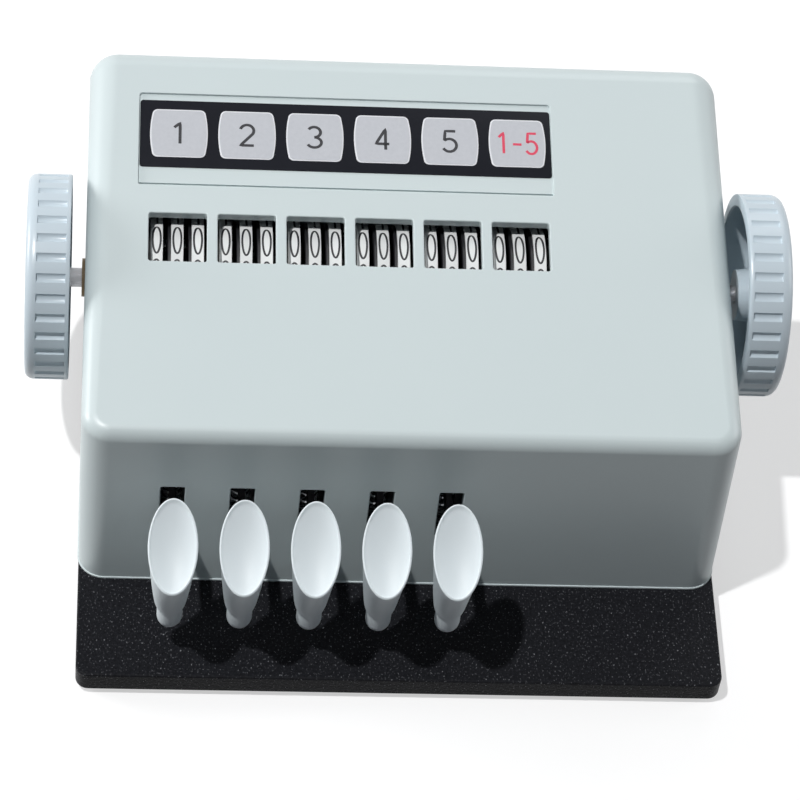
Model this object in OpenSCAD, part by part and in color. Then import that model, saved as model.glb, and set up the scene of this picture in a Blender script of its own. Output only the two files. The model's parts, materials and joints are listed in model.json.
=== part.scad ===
// Mechanical differential cell counter: a moulded case on a heavy base plate,
// with a row of key-driven three-digit counters and one counter for the total.
// X runs along the row, Y from the keys to the back, Z up from the bench.

/* [Case] */
// Width of the case
case_w = 200; // [180:1:260]
// Depth of the case at its foot
case_d = 146; // [130:1:190]
// Height of the front ridge above the base plate
ridge_h = 67.5; // [62:0.5:90]
// Slope of the top panel, in degrees
panel_slope = 8; // [4:0.5:12]
// How far the front face leans back at the ridge
front_lean = 6; // [2:0.5:9]
// Thickness of the moulded wall
wall = 3; // [2:0.25:4]
// Rounding of the edges round the top panel
top_r = 9; // [5:0.5:12]
// Rounding of the upright corners at the foot
corner_r = 8; // [5:0.5:12]

/* [Base plate] */
// Thickness of the base plate
base_t = 8; // [5:0.5:12]
// How far the base plate reaches in front of the case
base_front = 36; // [30:1:60]
// How far it shows behind the case
base_back = 1; // [0:0.5:6]
// Rounding of its corners
base_r = 4; // [2:0.5:10]
// Radius of a rubber foot
foot_r = 8; // [5:0.5:12]
// Height of the feet under the base plate
foot_h = 2; // [1:0.5:6]

/* [Counters] */
// Distance from one counter to the next
pitch = 21.25; // [21:0.25:26]
// Distance of the counter frame from the left side of the case
frame_in = 16.9; // [16.5:0.1:30]
// Radius of a digit wheel
wheel_r = 20; // [16:0.5:24]
// Width of the printed rim of a digit wheel
drum_w = 3.8; // [3.2:0.1:4]
// Distance from one digit wheel to the next
wheel_pitch = 6.35; // [6.2:0.05:6.6]
// Radius of the reset shaft
shaft_r = 3; // [2:0.25:4]
// Gap between the digit wheels and the inside of the top panel
window_gap = 1.5; // [1:0.25:4]
// Radius over the teeth of the units ratchet
ratchet_r = 13.2; // [12.5:0.1:13.6]
// Depth of its teeth
tooth_h = 2.8; // [2:0.1:3]
// Thickness of a ratchet
ratchet_t = 1.3; // [1:0.1:1.5]

/* [Windows and label] */
// Width of a window
window_w = 18; // [14:0.5:19]
// Length of a window along the panel
window_l = 17.2; // [12:0.2:20]
// Distance of the window centres behind the foot of the case
window_y = 74.5; // [60:0.5:90]
// How far the label strip reaches past the row on its left
label_past = 1.5; // [0:0.1:4]
// Length of the label strip along the panel
label_l = 24.6; // [16:0.2:30]
// Distance of the label strip behind the foot of the case
label_y = 112; // [100:0.5:125]
// Depth of the recess that takes the label strip
recess_d = 0.8; // [0.4:0.1:1.2]
// How far the recess reaches in front of the label strip
recess_front = 6; // [1:0.2:8]
// How far it reaches behind the label strip
recess_back = 2.4; // [1:0.2:6]

/* [Keys] */
// Width of the oval key dish
dish_w = 15; // [12:0.5:17]
// Length of the oval key dish
dish_l = 29; // [20:0.5:31]
// Tilt of the dish towards the user, in degrees
dish_tilt = 30; // [10:1:40]
// Distance of the key centres in front of the case
key_out = 22.8; // [20:0.2:30]
// Depth of the dish
dish_depth = 3; // [1:0.25:4]
// Height of the dish centre above the pivot rod
dish_rise = 23.5; // [20:0.5:25]
// Width of a slot in the front face
slot_w = 7.4; // [5:0.2:9]
// Height of the top of the slots above the pivot rod
slot_rise = 15.8; // [14:0.2:17]

/* [Levers] */
// How far the pivot rod lies in front of the wheel axis
rod_ahead = 40.9; // [40:0.1:42]
// How far the pivot rod lies under the digit wheels
rod_under = 4.9; // [4.6:0.1:6]
// Radius of the pivot rod
rod_r = 2; // [1.5:0.25:3]
// Thickness of a lever
lever_t = 2; // [1.2:0.1:3]
// Height of a lever
lever_h = 6; // [4:0.5:7]
// Radius of the pin that carries a pawl
pin_r = 1.5; // [1:0.1:2]

/* [Knobs] */
// Radius of a reset knob
knob_r = 32; // [24:0.5:34]
// Width of a reset knob
knob_w = 13.5; // [10:0.5:20]
// Gap between the case and a knob
knob_gap = 4.5; // [3:0.5:8]
// Grooves round a knob
grooves = 32; // [20:1:48]
// Width of a groove
groove_w = 2.5; // [1.4:0.1:3]
// Depth of a groove
groove_d = 0.9; // [0.4:0.1:1.2]
// Width of the bevel round the outer face
knob_bevel = 3; // [1.5:0.25:4]

/* [Fits] */
// Radial clearance of shafts, rods and pins
run_fit = 0.05; // [0.02:0.01:0.1]
// Gap between pieces that pass each other
gap = 0.3; // [0.2:0.05:0.5]

/* [Hidden] */
$fn = 64;
eps = 0.01;

// heights and planes of the case
base_top = foot_h + base_t;
ridge = [front_lean, base_top + ridge_h];
panel_n = [-sin(panel_slope), cos(panel_slope)];
lean = atan(front_lean / ridge_h);
front_n = [-cos(lean), sin(lean)];
back_n = [1, 0];
mid_y = (case_d + base_back - base_front) / 2;
case_in_x = case_w / 2 - wall;

function panel_z(y) = ridge[1] + (y - ridge[0]) * tan(panel_slope);
// the point that lies r inside two planes through p with outward normals m and n
function inside(p, m, n, r) =
    let (det = m[0] * n[1] - m[1] * n[0])
    [p[0] - r * (n[1] - m[1]) / det, p[1] - r * (m[0] - n[0]) / det];

ridge_c = inside(ridge, front_n, panel_n, top_r);
crest_c = inside([case_d, panel_z(case_d)], panel_n, back_n, top_r);

// wheel axis, a little in front of the line square to the panel through the window's middle
axis_depth = wall + window_gap + wheel_r;
axis_ahead = 1;
axis_y = window_y + sin(panel_slope) * axis_depth - axis_ahead;
axis_z = panel_z(window_y) - cos(panel_slope) * axis_depth;
axis_c = [axis_y, axis_z];

// the row: five counters with a key, and the total
key_count = 5;
counter_count = key_count + 1;
// the bay of a counter holds three wheels with their end play, and the wall is what is left
end_play = 1;
bay_half = (3 * wheel_pitch + end_play) / 2;
bay_wall = pitch - 2 * bay_half;
frame_x0 = frame_in - case_w / 2;
frame_x1 = frame_x0 + counter_count * pitch + bay_wall;
row_x0 = frame_x0 + bay_wall / 2;
row_x1 = frame_x1 - bay_wall / 2;
function counter_x(i) = row_x0 + (i + 0.5) * pitch;
total_x = counter_x(key_count);
split_x = total_x - pitch / 2;
label_w = counter_count * pitch + label_past;
label_x = (row_x0 + row_x1 - label_past) / 2;
strip_t = 0.4;
plate_t = 0.25;
plate_in = 3.5;
plate_r = 4;

// digit wheels, placed by the middle of their printed rim
rim_t = 1.6;
web_t = 1.2;
flange_t = 1;
flange_r = wheel_r - 1.1;
hub_r = 5;
hub_gap = 0.15;
ratchet_x = drum_w / 2 + 0.05;
teeth = 10;
digit_step = 360 / teeth;
face_deg = -16;
// each ratchet stands inside the one before, so only a deep notch lets the pawl reach it
ratchet_drop = [0, 2.9, 5.2];
notch_depth = [2, 1.9, 0];
tooth_shrink = 0.15;

// levers and pawls; a lever lifts its pawl so far that the wheel turns lever_gain times as far
lever_gain = 5;
stroke = digit_step / lever_gain;
rod_c = [axis_y - rod_ahead, axis_z - wheel_r - rod_under];
key_y = -key_out;
arm_end = [key_y - 1, rod_c[1] + 9];
pawl_c = [axis_y + 15.1, rod_c[1] - 5];
tail_c = pawl_c + [9, 0.5];
lever_hub_r = 4.5;
eye_r = 4;
lever_hub_w = 10;
bail_hub_w = 5;
pin_boss_r = 3;
finger_t = ratchet_t - 0.3;
finger_x = (ratchet_x + ratchet_x + ratchet_t) / 2;
tip_r = ratchet_r - tooth_h + 0.95;
tip_deg = face_deg - 1.3;
finger_w = 2.9;
// the knee of a finger stays outside the teeth while the wheel turns past
knee_c = polar(axis_c, ratchet_r + 2.9, tip_deg - 16.5);
// the spine that joins the fingers lies over the eye of the lever
spine_w = 4;
spine_h = 3;
spine_c = pawl_c + [-0.5, eye_r + 0.6];
pawl_x0 = finger_x - wheel_pitch - finger_t / 2 - 0.3;
pawl_x1 = finger_x + wheel_pitch + finger_t / 2 + 0.1;
bar_c = pawl_c + [10, 15.5];
bar_r = 2.2;
bail_left_x = frame_x0 - 3.4;
// height of the middle of a lever at y, in front of the rod and behind it
function line_z(a, b, y) = a[1] + (y - a[0]) * (b[1] - a[1]) / (b[0] - a[0]);
function front_arm_z(y) = line_z(rod_c, arm_end, y);
function rear_arm_z(y) = line_z(rod_c, pawl_c, y);

// frame of the counters
floor_t = 3;
frame_y0 = rod_c[0] - 25;
frame_y1 = axis_y + 27;
bay_front = rod_c[0] - 12;
bay_back = axis_y + 19;
nose_h = 4;
crown_w = 12;
crown_h = 11;
rail_y = axis_y + 6;
rail_w = 6;
pad_w = rail_w - 1;
pad_h = 3;
spring_post_h = 4;
pad_top = rear_arm_z(rail_y + rail_w / 2) - lever_h / 2 - gap - 0.1;
spring_y = rod_c[0] - 18;
spring_r = 3;
wire_r = 0.45;

// keys: at the end of the stroke the lever stays off the slot's end and the stem off the base
slot_play = 2.3;
stem_play = 3.6;
slot_top = rod_c[1] + slot_rise;
slot_bottom = front_arm_z(0) - lever_h / 2 - rod_c[0] * tan(stroke) - slot_play;
dish_z = rod_c[1] + dish_rise;
stem_r = 3.9;
stem_end = 3.2;
neck_h = 10;
ledge = 0.6;
rim_h = 1.6;
rim_w = 0.85;
press_fit = 0.03;
// how soon the bowl widens and lengthens above the neck, 1 evenly and less sooner
bowl_wide = 0.7;
bowl_long = 1.3;
stem_z = base_top + (rod_c[0] - key_y) * tan(stroke) + stem_play;

// shafts, bushes and knobs
knob_x0 = case_w / 2 + knob_gap;
knob_x1 = knob_x0 + knob_w;
knob_rim_t = 4;
knob_face_t = 4;
knob_hub_r = 8;
knob_plain = 1.3;
knob_sink = 2.2;
knob_bore = 14;
knob_screw_l = 8;
drive_w = 0.8;
spigot_r = 1.5;
spigot_l = 6;
reset_w = 1;
reset_d = 0.8;
bush_r = 6;
bush_flange_r = 8.5;
bush_in = 2;
bush_out = 1;
screw_r = 1.5;
head_r = 2.8;
head_h = 1.8;
screw_fit = 0.02;

// screws from below
case_screw_x = case_w / 2 - 10.5;
case_screw_y = [14, case_d - 36];
frame_screw_x = [row_x0 + pitch / 2, row_x1 - pitch / 2];
frame_screw_y = [rod_c[0] - 9, frame_y1 - 9];
boss_r = 5;
boss_h = 18;
foot_in = 16;
foot_bevel = 0.8;
hole_play = 0.3;
// the head of a screw from below stands this far above the underside of the base plate
head_in = 1;
foot_sink = 1;

// ---- helpers ----

// moves the model so that its origin is under the middle of its box
module on_bench() { translate([0, -mid_y, 0]) children(); }

// places children on the top panel at x and y, with +Z along its normal
module on_panel(x, y) {
    translate([x, y, panel_z(y)]) rotate([panel_slope, 0, 0]) children();
}

// a Y-Z outline, extruded along X from x0 to x1
module across(x0, x1) {
    translate([x0, 0, 0]) rotate([90, 0, 90]) linear_extrude(x1 - x0) children();
}

// a cylinder along X from x0 to x1 round the point c of the Y-Z plane
module rod_x(x0, x1, r, c) {
    translate([x0, c[0], c[1]]) rotate([0, 90, 0]) cylinder(r = r, h = x1 - x0);
}

module rounded_rect(w, d, r) {
    square([w - 2 * r, d], center = true);
    square([w, d - 2 * r], center = true);
    for (x = [-1, 1], y = [-1, 1])
        translate([x * (w / 2 - r), y * (d / 2 - r)]) circle(r = r);
}

// a flat bar between two points
module strut(a, b, w) {
    run = b - a;
    translate(a) rotate(atan2(run[1], run[0])) translate([0, -w / 2]) square([norm(run), w]);
}

function polar(c, r, a) = [c[0] + r * cos(a), c[1] + r * sin(a)];

// triangles between closed rings of n points each, with both ends closed
function ring_faces(rings, n) = concat(
    [for (i = [0:rings - 2], j = [0:n - 1]) [i * n + j, (i + 1) * n + j, i * n + (j + 1) % n]],
    [for (i = [0:rings - 2], j = [0:n - 1])
        [i * n + (j + 1) % n, (i + 1) * n + j, (i + 1) * n + (j + 1) % n]],
    [[for (j = [0:n - 1]) j]],
    [[for (j = [n - 1:-1:0]) (rings - 1) * n + j]]);

// an open coil of round wire along Z
module coil(r, wire, turns, h) {
    sides = 5;
    per_turn = 10;
    steps = round(turns * per_turn);
    polyhedron(points = [for (i = [0:steps], j = [0:sides - 1])
        let (a = i * 360 / per_turn, b = j * 360 / sides)
        [(r + wire * cos(b)) * cos(a), (r + wire * cos(b)) * sin(a),
            wire + (h - 2 * wire) * i / steps + wire * sin(b)]],
        faces = ring_faces(steps + 1, sides));
}

// ---- case and base ----

// the outer form of the case, or its hollow when inset by the wall
module case_form(inset) {
    foot_x = case_w / 2 - corner_r;
    top_x = case_w / 2 - top_r;
    low = inset > 0 ? -1 : 0;
    hull() {
        for (s = [-1, 1]) {
            translate([s * foot_x, corner_r, base_top + low])
                cylinder(r = corner_r - inset, h = 1, $fn = 32);
            translate([s * foot_x, case_d - corner_r, base_top + low])
                cylinder(r = corner_r - inset, h = 1, $fn = 32);
            translate([s * top_x, ridge_c[0], ridge_c[1]]) sphere(r = top_r - inset, $fn = 32);
            translate([s * top_x, crest_c[0], crest_c[1]]) sphere(r = top_r - inset, $fn = 32);
        }
    }
}

module housing() {
    color([0.81, 0.86, 0.87]) on_bench() {
        difference() {
            case_form(0);
            case_form(wall);
            for (i = [0:counter_count - 1]) window_cut(i);
            for (i = [0:key_count - 1]) slot_cut(i);
            label_recess();
            for (x0 = [-case_w / 2 - 1, case_in_x - 1])
                rod_x(x0, x0 + wall + 2, bush_r + run_fit, axis_c);
        }
        for (x = [-1, 1], y = case_screw_y)
            translate([x * case_screw_x, y, base_top]) screw_boss(x);
    }
}

// the opening over one counter, cut square to the panel
module window_cut(i) {
    on_panel(counter_x(i), window_y) translate([0, 0, -wall - 2])
        linear_extrude(wall + 4) rounded_rect(window_w, window_l, 0.8);
}

// the shallow field that the label strip is stuck in, open above the panel
module label_recess() {
    on_panel(label_x, label_y) translate([0, (recess_back - recess_front) / 2, -recess_d])
        linear_extrude(wall)
            rounded_rect(label_w + 2 * gap, label_l + recess_front + recess_back, 1);
}

module slot_cut(i) {
    translate([counter_x(i) - slot_w / 2, -2, slot_bottom])
        cube([slot_w, wall + front_lean + 6, slot_top - slot_bottom]);
}

// a post for a screw from below, with a rib out to the side wall
module screw_boss(side) {
    reach = case_w / 2 - wall / 2 - case_screw_x;
    difference() {
        union() {
            cylinder(r = boss_r, h = boss_h);
            translate([side > 0 ? 0 : -reach, -1, 0]) cube([reach, 2, boss_h]);
        }
        translate([0, 0, -1]) cylinder(r = screw_r, h = boss_h - 2);
    }
}

module base_plate() {
    depth = case_d + base_back + base_front;
    color([0.1, 0.1, 0.12]) on_bench() difference() {
        translate([0, mid_y, foot_h]) linear_extrude(base_t) rounded_rect(case_w, depth, base_r);
        for (x = [-1, 1], y = case_screw_y)
            translate([x * case_screw_x, y, 0]) screw_hole();
        for (x = frame_screw_x, y = frame_screw_y) translate([x, y, 0]) screw_hole();
        foot_places() translate([0, 0, foot_h - 1]) cylinder(r = foot_r + run_fit, h = 1 + foot_sink);
    }
}

// a clearance hole with a counterbore for the head, from below
module screw_hole() {
    translate([0, 0, foot_h - 1]) cylinder(r = screw_r + hole_play, h = base_t + 2);
    translate([0, 0, foot_h - 1]) cylinder(r = head_r + hole_play, h = 1 + head_in + head_h);
}

module foot_places() {
    for (x = [-1, 1], y = [foot_in - base_front, case_d + base_back - foot_in])
        translate([x * (case_w / 2 - foot_in), y, 0]) children();
}

module feet() {
    color([0.08, 0.08, 0.08]) on_bench() foot_places() rotate_extrude()
        polygon([[0, 0], [foot_r - foot_bevel, 0], [foot_r, foot_bevel],
            [foot_r, foot_h + foot_sink], [0, foot_h + foot_sink]]);
}

module screw_up(length) {
    translate([0, 0, foot_h + head_in]) cylinder(r = head_r, h = head_h);
    translate([0, 0, foot_h + head_in]) cylinder(r = screw_r - screw_fit, h = length);
}

module housing_screws() {
    color([0.7, 0.7, 0.72]) on_bench() for (x = [-1, 1], y = case_screw_y)
        translate([x * case_screw_x, y, 0]) screw_up(base_t - head_in + boss_h - 5);
}

module frame_screws() {
    color([0.7, 0.7, 0.72]) on_bench() for (x = frame_screw_x, y = frame_screw_y)
        translate([x, y, 0]) screw_up(base_t - head_in + floor_t);
}

module label_strip() {
    color([0.08, 0.1, 0.14]) on_bench() on_panel(label_x, label_y)
        translate([0, 0, -recess_d]) linear_extrude(strip_t) rounded_rect(label_w, label_l, 1);
}

module label_plates() {
    color([0.77, 0.78, 0.8]) on_bench() for (i = [0:counter_count - 1])
        on_panel(counter_x(i), label_y) translate([0, 0, strip_t - recess_d])
            linear_extrude(plate_t) rounded_rect(window_w, label_l - 2 * plate_in, plate_r);
}

// ---- counters ----

// one wall between two bays, with the bearings of the rod and the shaft
module bay_wall_outline() {
    difference() {
        polygon([[bay_front, base_top], [bay_front, rod_c[1] + nose_h],
            [bay_front + 1.5 * nose_h, rod_c[1] + 2.5 * nose_h],
            axis_c + [-crown_w, crown_h], axis_c + [crown_w, crown_h],
            [bay_back, axis_z], [bay_back, base_top]]);
        translate(rod_c) circle(r = rod_r + run_fit);
        translate(axis_c) circle(r = shaft_r + run_fit);
    }
}

module counter_frame() {
    color([0.62, 0.63, 0.65]) on_bench() {
        difference() {
            translate([frame_x0, frame_y0, base_top])
                cube([frame_x1 - frame_x0, frame_y1 - frame_y0, floor_t]);
            for (x = frame_screw_x, y = frame_screw_y)
                translate([x, y, base_top - 1]) cylinder(r = screw_r, h = floor_t + 2);
        }
        for (i = [0:counter_count]) {
            x = row_x0 + i * pitch;
            across(x - bay_wall / 2, x + bay_wall / 2) bay_wall_outline();
        }
        translate([frame_x0, rail_y - rail_w / 2, base_top])
            cube([frame_x1 - frame_x0, rail_w, pad_top - pad_h - base_top]);
        for (i = [0:key_count - 1]) translate([counter_x(i), spring_y, base_top + floor_t - eps])
            cylinder(r = spring_r - wire_r - gap, h = spring_post_h);
    }
}

module stop_pad() {
    inner = bay_half - gap;
    color([0.15, 0.15, 0.15]) on_bench() for (i = [0:counter_count - 1])
        translate([counter_x(i) - inner, rail_y - pad_w / 2, pad_top - pad_h])
            cube([2 * inner, pad_w, pad_h]);
}

module pivot_rod() {
    color([0.75, 0.75, 0.77]) on_bench() rod_x(bail_left_x - 10, frame_x1 + 2, rod_r, rod_c);
}

module shaft_bushes() {
    length = bush_out + wall + bush_in;
    color([0.72, 0.6, 0.35]) on_bench() translate([0, axis_y, axis_z])
        for (s = [-1, 1]) rotate([0, s * 90, 0]) translate([0, 0, case_in_x - bush_in])
            difference() {
                union() {
                    cylinder(r = bush_r, h = length);
                    cylinder(r = bush_flange_r, h = bush_in - 0.1);
                }
                translate([0, 0, -1]) cylinder(r = shaft_r + run_fit, h = length + 2);
            }
}

// saw teeth round the wheel axis; the face of tooth 0 stands at face_deg
module ratchet_outline(drop, notch) {
    tip = ratchet_r - drop;
    root = tip - tooth_h + drop * tooth_shrink;
    polygon([for (k = [0:teeth - 1]) let (
        a = face_deg + k * digit_step,
        deep = k == 1 ? notch : 0)
        each [polar([0, 0], root - deep, a), polar([0, 0], tip, a)]]);
}

// place 0 is the hundreds wheel, 1 the tens wheel and 2 the units wheel
module digit_wheel(i, place) {
    x = counter_x(i) + (place - 1) * wheel_pitch;
    hub_x0 = -drum_w / 2 - flange_t + hub_gap / 2;
    hub_x1 = hub_x0 + wheel_pitch - hub_gap;
    color([0.95, 0.95, 0.94]) on_bench() translate([x, axis_y, axis_z]) difference() {
        union() {
            rod_x(-drum_w / 2, drum_w / 2, wheel_r, [0, 0]);
            rod_x(-drum_w / 2 - flange_t, 0, flange_r, [0, 0]);
            rod_x(hub_x0, hub_x1, hub_r, [0, 0]);
            across(0, ratchet_x + ratchet_t)
                ratchet_outline(ratchet_drop[2 - place], notch_depth[2 - place]);
        }
        rod_x(-wheel_pitch, wheel_pitch, shaft_r + run_fit, [0, 0]);
        difference() {
            rod_x(web_t / 2, drum_w, wheel_r - rim_t, [0, 0]);
            rod_x(0, drum_w + 1, ratchet_r + 1, [0, 0]);
        }
    }
}

// the comb pawl: three fingers on one spine, over the lever that carries it
module pawl(x) {
    inner = lever_t / 2 + gap;
    color([0.35, 0.36, 0.38]) on_bench() translate([x, 0, 0]) difference() {
        union() {
            for (span = [[pawl_x0, -inner], [inner, pawl_x1]]) {
                rod_x(span[0], span[1], pin_boss_r, pawl_c);
                across(span[0], span[1]) translate([spine_c[0], pawl_c[1]])
                    square([spine_w, spine_c[1] - pawl_c[1] + eps]);
            }
            across(pawl_x0, pawl_x1) translate(spine_c) square([spine_w, spine_h]);
            for (k = [-1:1]) across(finger_x + k * wheel_pitch - finger_t / 2,
                finger_x + k * wheel_pitch + finger_t / 2) pawl_finger_outline();
        }
        rod_x(pawl_x0 - 1, pawl_x1 + 1, pin_r + run_fit, pawl_c);
    }
}

// a hooked finger, from its root on the spine round the knee to the tip in a tooth
module pawl_finger_outline() {
    root = spine_c + [0, 0.4];
    polygon([polar(axis_c, tip_r, tip_deg), polar(axis_c, tip_r + finger_w, tip_deg),
        knee_c + [2.8, 1.2], root + [spine_w, 0], root, knee_c]);
}

// ---- keys ----

module key_lever(i) {
    color([0.78, 0.78, 0.8]) on_bench() translate([counter_x(i), 0, 0]) difference() {
        union() {
            across(-lever_t / 2, lever_t / 2) {
                strut(arm_end, rod_c, lever_h);
                rear_arm();
            }
            rod_x(-lever_hub_w / 2, lever_hub_w / 2, lever_hub_r, rod_c);
            pawl_pin();
        }
        rod_x(-lever_hub_w, lever_hub_w, rod_r + run_fit, rod_c);
    }
}

// the arm behind the pivot: an eye for the pawl's pin and a tail under the bail
module rear_arm() {
    strut(rod_c, pawl_c, lever_h);
    translate(pawl_c) circle(r = eye_r);
    strut(pawl_c, tail_c, lever_h - 1);
    translate(tail_c) circle(r = lever_h / 2);
}

// the pin stands out of the pawl on both sides, short of the bay's walls
module pawl_pin() {
    rod_x(pawl_x0 - 0.8, pawl_x1 + 0.15, pin_r, pawl_c);
}

// a round stem, a bowl that opens out and leans towards the user, and a dish inside a thin rim
module key_cap(i) {
    sides = 28;
    w = dish_w / 2;
    l = dish_l / 2;
    bowl_z0 = stem_z + neck_h;
    bowl_z1 = dish_z - rim_h;
    // a ring is its height, half its width, half its length and its tilt
    stem = concat([for (a = [24:22:90]) [stem_z + stem_end * (1 - cos(a)), stem_r * sin(a),
        stem_r * sin(a), 0]], [[bowl_z0, stem_r, stem_r, 0]]);
    bowl = [for (k = [0:7]) let (t = k / 7) [bowl_z0 + ledge / 2 + (bowl_z1 - bowl_z0 - ledge / 2) * t,
        stem_r + ledge + (w - 0.3 - stem_r - ledge) * pow(t, bowl_wide),
        stem_r + ledge + (l - 0.5 - stem_r - ledge) * pow(t, bowl_long), dish_tilt * t]];
    rim = [for (z = [[-0.5, 0], [0, rim_w * 0.3], [0, rim_w]]) [dish_z + z[0], w - z[1], l - z[1],
        dish_tilt]];
    dish = [for (s = [0.93, 0.78, 0.55, 0.25]) [dish_z - dish_depth * (1 - s * s), (w - rim_w) * s,
        (l - rim_w) * s, dish_tilt]];
    rings = concat(stem, bowl, rim, dish);
    color([0.9, 0.93, 0.95]) on_bench() translate([counter_x(i), key_y, 0]) difference() {
        polyhedron(points = [for (r = rings, j = [0:sides - 1]) let (a = -j * 360 / sides)
            [r[1] * cos(a), r[2] * sin(a) * cos(r[3]), r[0] + r[2] * sin(a) * sin(r[3])]],
            faces = ring_faces(len(rings), sides));
        cap_slot();
    }
}

// the slot in the cap that the tongue of the lever is pressed into
module cap_slot() {
    run = rod_c - arm_end;
    w = lever_t + 2 * press_fit;
    h = lever_h + 2 * press_fit;
    translate([0, arm_end[0] - key_y, arm_end[1]]) rotate([atan2(run[1], run[0]), 0, 0])
        translate([-w / 2, -0.1, -h / 2]) cube([w, dish_l, h]);
}

module key_spring(i) {
    z0 = base_top + floor_t + 0.1;
    top = front_arm_z(spring_y) - lever_h / 2 - 0.5;
    color([0.7, 0.72, 0.75]) on_bench() translate([counter_x(i), spring_y, z0])
        coil(spring_r, wire_r, 6, top - z0);
}

// ---- total ----

// the bail across all levers: an arm at each end, and the arm of the total counter
module total_bail() {
    color([0.72, 0.72, 0.75]) on_bench() difference() {
        union() {
            for (x = [bail_left_x, total_x]) translate([x, 0, 0]) {
                across(-lever_t / 2, lever_t / 2) {
                    rear_arm();
                    strut(tail_c, bar_c, lever_h - 1);
                    translate(bar_c) circle(r = bar_r + 1);
                }
                rod_x(-bail_hub_w / 2, bail_hub_w / 2, lever_hub_r, rod_c);
            }
            rod_x(bail_left_x - lever_t / 2, total_x + lever_t / 2, bar_r, bar_c);
            translate([total_x, 0, 0]) pawl_pin();
        }
        rod_x(bail_left_x - 10, total_x + 20, rod_r + run_fit, rod_c);
    }
}

// a torsion spring round the end of the pivot rod
module bail_spring() {
    x0 = bail_left_x - bail_hub_w / 2 - 1;
    color([0.7, 0.72, 0.75]) on_bench() translate([x0, rod_c[0], rod_c[1]]) rotate([0, -90, 0])
        coil(rod_r + wire_r + gap, wire_r, 5, 6);
}

// ---- reset shafts and knobs ----

// the long groove that takes the wheels along when the shaft turns
module reset_groove(x0, x1) {
    translate([x0, axis_y - reset_w / 2, axis_z + shaft_r - reset_d])
        cube([x1 - x0, reset_w, shaft_r]);
}

module left_shaft() {
    end = split_x - 0.5;
    color([0.75, 0.76, 0.78]) on_bench() difference() {
        union() {
            rod_x(knob_face_t - knob_x1, end, shaft_r, axis_c);
            rod_x(end - eps, end + spigot_l, spigot_r, axis_c);
        }
        reset_groove(row_x0 + 2, end - 2);
        rod_x(-knob_x1, knob_bore - knob_x1, screw_r, axis_c);
    }
}

module right_shaft() {
    start = split_x - 0.3;
    color([0.75, 0.76, 0.78]) on_bench() difference() {
        rod_x(start, knob_x1 - knob_face_t, shaft_r, axis_c);
        rod_x(start - 1, start + spigot_l + 1, spigot_r + run_fit, axis_c);
        reset_groove(start + 2, row_x1 - 2);
        rod_x(knob_x1 - knob_bore, knob_x1, screw_r, axis_c);
    }
}

// the knob along +Z, open towards the case at z = 0, with a bevel round its outer face
module knob_body() {
    face_z = knob_w - knob_face_t;
    rim_in = knob_r - knob_rim_t;
    bevel = [for (a = [0:30:90]) [knob_r - knob_bevel * 0.8 * (1 - cos(a)),
        knob_w - knob_bevel * (1 - sin(a))]];
    sink_z = knob_w - knob_sink;
    groove_r = (pow(groove_w / 2, 2) + pow(groove_d, 2)) / (2 * groove_d);
    difference() {
        rotate_extrude() polygon(concat(
            [[shaft_r + press_fit, 0.5], [knob_hub_r, 0.5], [knob_hub_r + 1, face_z],
                [rim_in - 1, face_z], [rim_in, 0], [knob_r - 0.5, 0], [knob_r, 0.5]],
            bevel,
            [[head_r + 2, knob_w], [head_r + 1, sink_z], [screw_r + gap, sink_z],
                [screw_r + gap, face_z], [shaft_r + press_fit, face_z]]));
        for (k = [0:grooves - 1]) rotate(k * 360 / grooves)
            translate([knob_r - groove_d + groove_r, 0, knob_plain])
                cylinder(r = groove_r, h = knob_w - knob_bevel - gap - knob_plain);
    }
}

module left_knob() {
    color([0.75, 0.8, 0.84]) on_bench() translate([-knob_x0, axis_y, axis_z])
        rotate([0, -90, 0]) knob_body();
}

module right_knob() {
    color([0.75, 0.8, 0.84]) on_bench() translate([knob_x0, axis_y, axis_z])
        rotate([0, 90, 0]) knob_body();
}

// a slotted screw along +Z, with its head on z = 0
module knob_screw() {
    difference() {
        cylinder(r = head_r, h = head_h);
        translate([-head_r, -drive_w / 2, head_h - drive_w]) cube([2 * head_r, drive_w, head_h]);
    }
    translate([0, 0, -knob_screw_l]) cylinder(r = screw_r - screw_fit, h = knob_screw_l + eps);
}

module left_knob_screw() {
    color([0.7, 0.7, 0.72]) on_bench() translate([knob_sink - knob_x1, axis_y, axis_z])
        rotate([0, -90, 0]) knob_screw();
}

module right_knob_screw() {
    color([0.7, 0.7, 0.72]) on_bench() translate([knob_x1 - knob_sink, axis_y, axis_z])
        rotate([0, 90, 0]) knob_screw();
}

// ---- nodes ----

housing();
base_plate();
feet();
label_strip();
label_plates();
counter_frame();
pivot_rod();
stop_pad();
shaft_bushes();
housing_screws();
frame_screws();
left_shaft();
right_shaft();
left_knob();
right_knob();
left_knob_screw();
right_knob_screw();
key_cap(0);  // key_cap_1
key_cap(1);  // key_cap_2
key_cap(2);  // key_cap_3
key_cap(3);  // key_cap_4
key_cap(4);  // key_cap_5
key_lever(0);  // key_lever_1
key_lever(1);  // key_lever_2
key_lever(2);  // key_lever_3
key_lever(3);  // key_lever_4
key_lever(4);  // key_lever_5
key_spring(0);  // key_spring_1
key_spring(1);  // key_spring_2
key_spring(2);  // key_spring_3
key_spring(3);  // key_spring_4
key_spring(4);  // key_spring_5
pawl(counter_x(0));  // pawl_1
pawl(counter_x(1));  // pawl_2
pawl(counter_x(2));  // pawl_3
pawl(counter_x(3));  // pawl_4
pawl(counter_x(4));  // pawl_5
pawl(total_x);  // pawl_total
total_bail();
bail_spring();
digit_wheel(0, 0);  // hundreds_wheel_1
digit_wheel(0, 1);  // tens_wheel_1
digit_wheel(0, 2);  // units_wheel_1
digit_wheel(1, 0);  // hundreds_wheel_2
digit_wheel(1, 1);  // tens_wheel_2
digit_wheel(1, 2);  // units_wheel_2
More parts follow.
